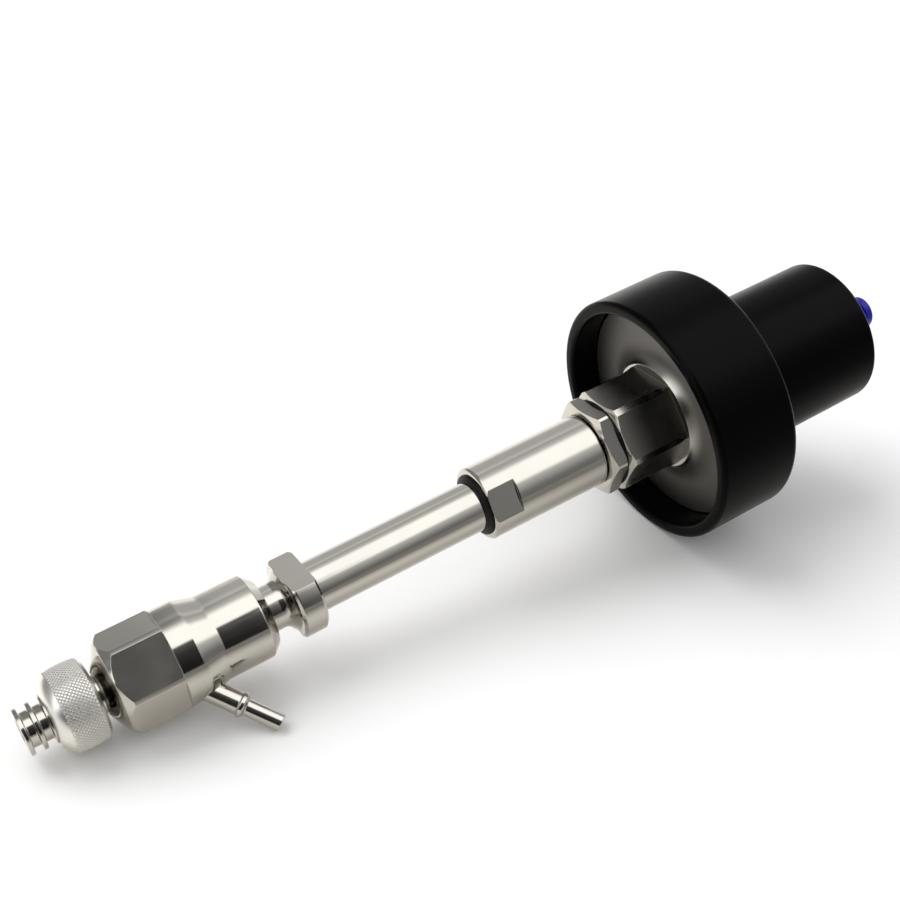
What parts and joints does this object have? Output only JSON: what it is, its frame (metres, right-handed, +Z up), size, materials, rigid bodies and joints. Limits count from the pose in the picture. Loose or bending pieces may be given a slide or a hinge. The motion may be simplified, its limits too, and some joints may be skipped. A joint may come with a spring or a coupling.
{
  "type": "air-operated filling valve head",
  "caption": "Air-operated filling valve head of a capping machine: grooved outlet, knurled union nut, hex valve body with angled nipple, long tube and black bell-shaped cylinder.",
  "frame": {"origin": "centre of the outlet face, on the valve axis", "axes": "+X along the valve axis from the outlet to the air fitting, +Z up as the head lies on its side"},
  "size_m": [0.306, 0.0822, 0.0822],
  "materials": {
    "polished_stainless": "polished stainless steel",
    "ground_stainless": "ground stainless steel",
    "knurled_stainless": "knurled, satin",
    "black_anodised_aluminium": "black hard anodised, satin",
    "black_rubber": "matt nitrile rubber",
    "white_ptfe": "machined fluoropolymer",
    "bronze": "sintered bronze",
    "turned_aluminium": "turned",
    "spring_steel": "drawn wire",
    "nickel_plated_brass": "nickel plated",
    "blue_acetal": "moulded acetal"
  },
  "bodies": {
    "root": {"outlet_spigot": "polished_stainless", "valve_body": "polished_stainless", "outlet_seal": "black_rubber", "seat_ring": "white_ptfe", "hose_nipple": "polished_stainless", "tube_coupling": "polished_stainless", "coupling_seal": "black_rubber", "front_guide_bush": "white_ptfe", "stem_seals": "black_rubber", "extension_tube": "polished_stainless", "sleeve": "polished_stainless", "wiper_ring": "black_rubber", "jam_nut": "ground_stainless", "bonnet_gasket": "black_rubber", "bonnet": "polished_stainless", "cover_seal": "black_rubber", "rear_guide_bush": "bronze", "actuator_housing": "black_anodised_aluminium", "spring_seat": "ground_stainless", "return_spring": "spring_steel", "fitting_washer": "black_rubber", "fitting_body": "nickel_plated_brass", "tube_seal": "black_rubber", "grip_ring": "spring_steel"},
    "stem_group": {"valve_stem": "polished_stainless", "poppet": "polished_stainless", "piston": "turned_aluminium", "piston_seal": "black_rubber", "piston_washer": "ground_stainless", "piston_nut": "ground_stainless"},
    "nut_carrier": {"thrust_washer": "ground_stainless"},
    "union_nut": {"knurled_nut": "knurled_stainless"},
    "release_button": {"release_ring": "blue_acetal"}
  },
  "joints": [
    {"name": "piston_stroke", "type": "slide", "parent": "root", "child": "stem_group", "axis": [-1, 0, 0], "range_m": [0, 0.0035], "stiffness_N_per_m": 3000, "springref_m": -0.012, "deforming": ["return_spring"]},
    {"name": "nut_travel", "type": "slide", "parent": "root", "child": "nut_carrier", "axis": [-1, 0, 0], "range_m": [0, 0.006]},
    {"name": "nut_turn", "type": "hinge", "parent": "nut_carrier", "child": "union_nut", "pos_m": [0.015, 0, 0], "axis": [-1, 0, 0], "range_deg": [0, 2160]},
    {"name": "release_press", "type": "slide", "parent": "root", "child": "release_button", "axis": [-1, 0, 0], "range_m": [0, 0.001], "stiffness_N_per_m": 2000, "springref_m": -0.001}
  ],
  "couplings": [
    {"joint": "nut_travel", "follows": "nut_turn", "m_per_rad": 0.00015915}
  ]
}
